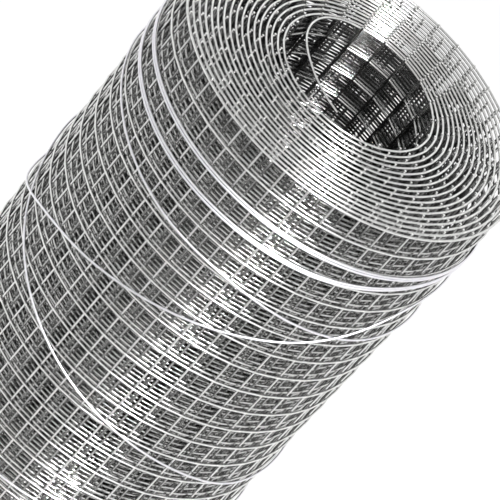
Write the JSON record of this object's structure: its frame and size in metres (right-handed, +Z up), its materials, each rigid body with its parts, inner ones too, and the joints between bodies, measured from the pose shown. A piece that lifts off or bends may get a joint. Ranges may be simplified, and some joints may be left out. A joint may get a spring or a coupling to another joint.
{
  "type": "welded wire mesh roll",
  "caption": "Roll of galvanized welded square wire mesh that stands on its end, wound round an open bore and bound with steel tie wires.",
  "frame": {"origin": "middle of the roll's lower end, on the floor that the roll stands on", "axes": "+Z up along the roll's axis and bore; -Y is the side that faces the viewer"},
  "size_m": [0.1746, 0.1746, 0.6154],
  "materials": {
    "galvanized_mesh": "satin",
    "tie_wire": "satin"
  },
  "bodies": {
    "root": {"mesh_roll": "galvanized_mesh", "top_double_tie": "tie_wire", "second_double_tie": "tie_wire", "slanting_tie": "tie_wire", "diagonal_tie": "tie_wire", "low_slanting_tie": "tie_wire", "lowest_tie": "tie_wire"}
  },
  "joints": []
}
